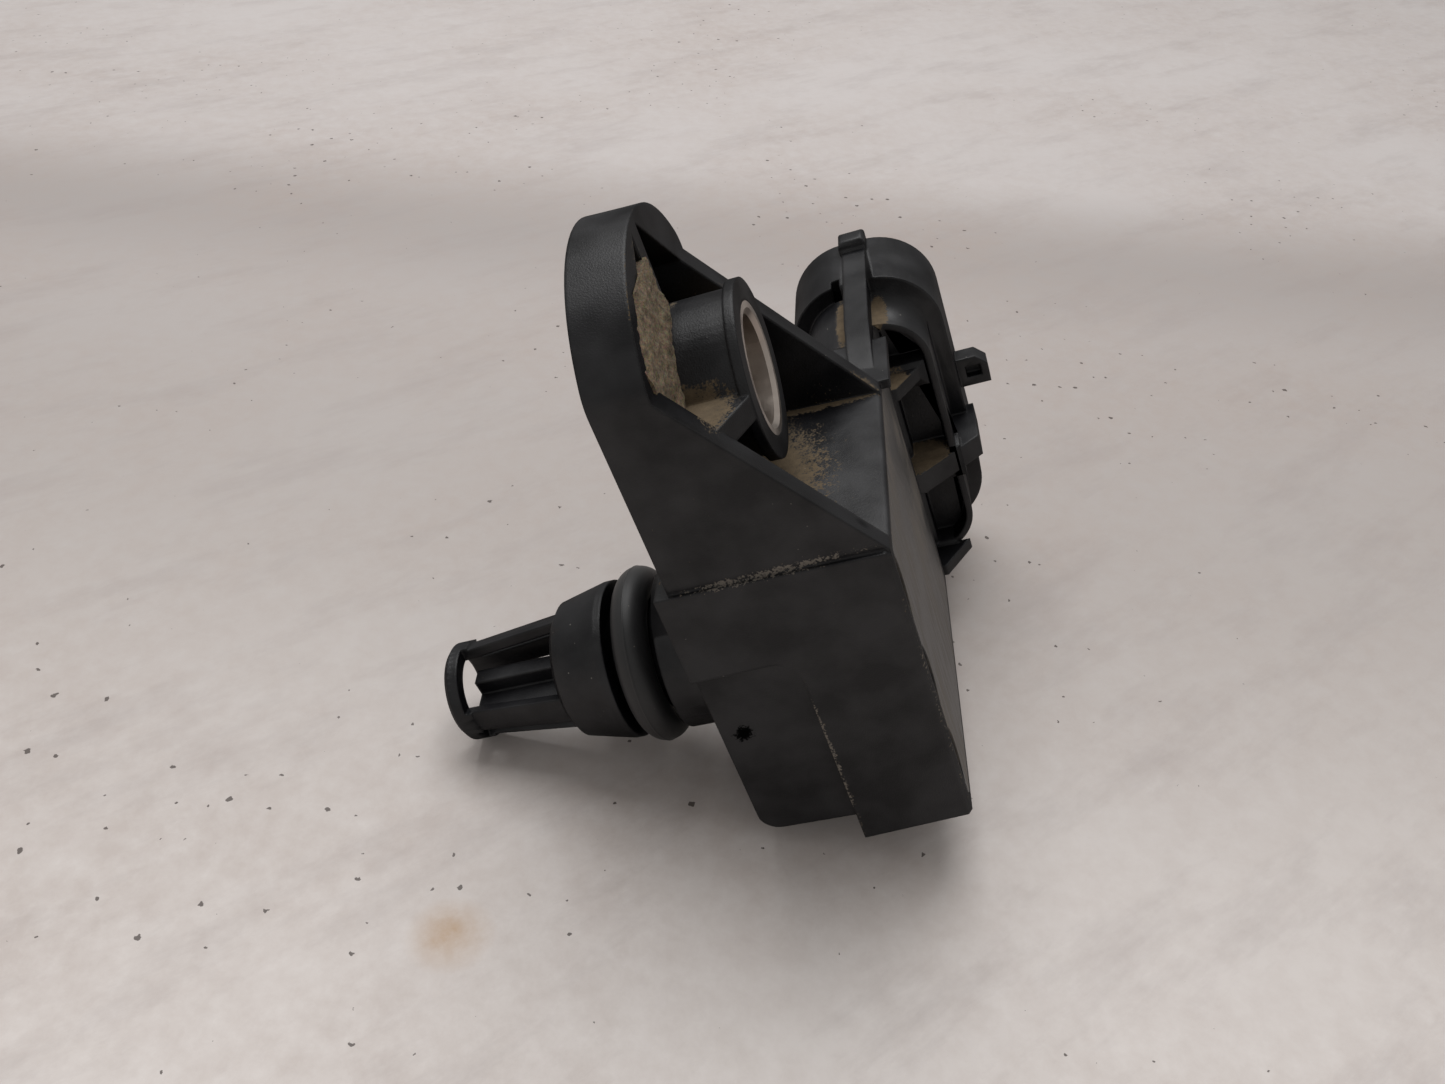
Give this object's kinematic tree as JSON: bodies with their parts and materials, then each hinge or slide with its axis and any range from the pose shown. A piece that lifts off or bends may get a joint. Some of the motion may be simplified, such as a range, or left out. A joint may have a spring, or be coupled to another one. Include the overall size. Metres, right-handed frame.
{
  "type": "manifold pressure and temperature sensor",
  "caption": "Black plastic engine intake sensor with a caged nozzle, sealing ring, bolt flange, flat lid and a side socket with a collar.",
  "frame": {"origin": "on the spigot's axis, in the seat plane that rests on the manifold", "axes": "+Z along the spigot's axis away from the manifold, so that the nozzle points to -Z; +Y to the bolt hole; +X out of the socket's mouth"},
  "size_m": [0.0435, 0.0455, 0.0436],
  "materials": {
    "housing_plastic": "moulded glass-filled plastic, satin",
    "lid_plastic": "moulded glass-filled plastic, rubbed and dusty",
    "adhesive": "cured silicone adhesive",
    "bush_steel": "turned and plated",
    "ring_rubber": "smooth moulded rubber",
    "bead_epoxy": "epoxy coating",
    "lead_wire": "tinned wire",
    "terminal_tin": "tin plated",
    "board_ceramic": "alumina ceramic",
    "seal_silicone": "silicone",
    "cell_glass": "cut glass",
    "die_silicon": "polished silicon",
    "dam_plastic": "moulded",
    "cell_gel": "clear silicone gel",
    "chip_plastic": "moulded epoxy",
    "capacitor_ceramic": "fired ceramic",
    "bond_metal": "drawn ribbon"
  },
  "bodies": {
    "root": {"housing": "housing_plastic", "lid": "lid_plastic", "lid_seal": "adhesive", "bush": "bush_steel", "sealing_ring": "ring_rubber", "thermistor": "bead_epoxy", "thermistor_lead_1": "lead_wire", "thermistor_lead_2": "lead_wire", "terminal_1": "terminal_tin", "terminal_2": "terminal_tin", "terminal_3": "terminal_tin", "terminal_4": "terminal_tin", "circuit_board": "board_ceramic", "port_seal": "seal_silicone", "glass_block": "cell_glass", "pressure_die": "die_silicon", "dam_ring": "dam_plastic", "protective_gel": "cell_gel", "signal_chip": "chip_plastic", "capacitor_1": "capacitor_ceramic", "capacitor_2": "capacitor_ceramic", "capacitor_3": "capacitor_ceramic", "bond_ribbons": "bond_metal"}
  },
  "joints": []
}
